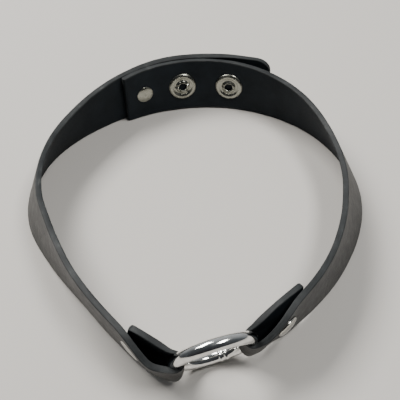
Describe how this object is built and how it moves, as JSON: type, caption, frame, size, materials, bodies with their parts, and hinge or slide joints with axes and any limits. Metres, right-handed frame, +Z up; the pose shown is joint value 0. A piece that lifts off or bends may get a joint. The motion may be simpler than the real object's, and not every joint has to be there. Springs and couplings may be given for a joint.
{
  "type": "leather ring collar",
  "caption": "Narrow leather neck collar with a front ring held in riveted folds, closed at the back by a press stud.",
  "frame": {"origin": "middle of the base, on the surface that the collar stands on", "axes": "+Z up, -Y to the front where the ring is, +X to the right side seen from the front"},
  "size_m": [0.116, 0.1296, 0.0254],
  "materials": {
    "black_leather": "matte full grain outside, smooth blue-black flesh side inside, waxed edges",
    "ring_chrome": "polished nickel plate on welded steel wire",
    "rivet_chrome": "polished nickel plate",
    "snap_nickel": "nickel-plated brass, lightly handled",
    "spring_steel": "bare spring wire"
  },
  "bodies": {
    "root": {"left_strap": "black_leather", "right_strap": "black_leather", "left_fold_rivet": "rivet_chrome", "left_fold_rivet_inner_cap": "rivet_chrome", "right_fold_rivet": "rivet_chrome", "right_fold_rivet_inner_cap": "rivet_chrome", "stud": "snap_nickel", "stud_eyelet": "snap_nickel", "spare_stud": "snap_nickel", "spare_stud_eyelet": "snap_nickel", "tail_rivet": "snap_nickel", "tail_rivet_cap": "snap_nickel"},
    "tab": {"left_strap_tab": "black_leather", "snap_cap": "snap_nickel", "snap_socket": "snap_nickel", "snap_spring": "spring_steel"},
    "ring_folds": {"left_loop": "black_leather", "right_loop": "black_leather"},
    "ring": {"o_ring": "ring_chrome"}
  },
  "joints": [
    {"name": "tab_peel", "type": "hinge", "parent": "root", "child": "tab", "pos_m": [-0.00001, 0.06245, 0.00995], "axis": [-0.0132, 0.2295, 0.9732], "range_deg": [0, 60], "stiffness_Nm_per_rad": 0.004, "springref_deg": -20.05, "deforming": ["snap_spring"]},
    {"name": "ring_swing", "type": "hinge", "parent": "root", "child": "ring_folds", "pos_m": [0.00537, -0.05585, 0.01271], "axis": [0.9494, 0.314, 0], "range_deg": [-15, 30], "stiffness_Nm_per_rad": 0.01, "deforming": ["left_loop", "right_loop"]},
    {"name": "ring_spin", "type": "hinge", "parent": "ring_folds", "child": "ring", "pos_m": [0.00537, -0.05585, 0.01271], "axis": [-0.3004, 0.9084, 0.2907], "continuous": true}
  ]
}
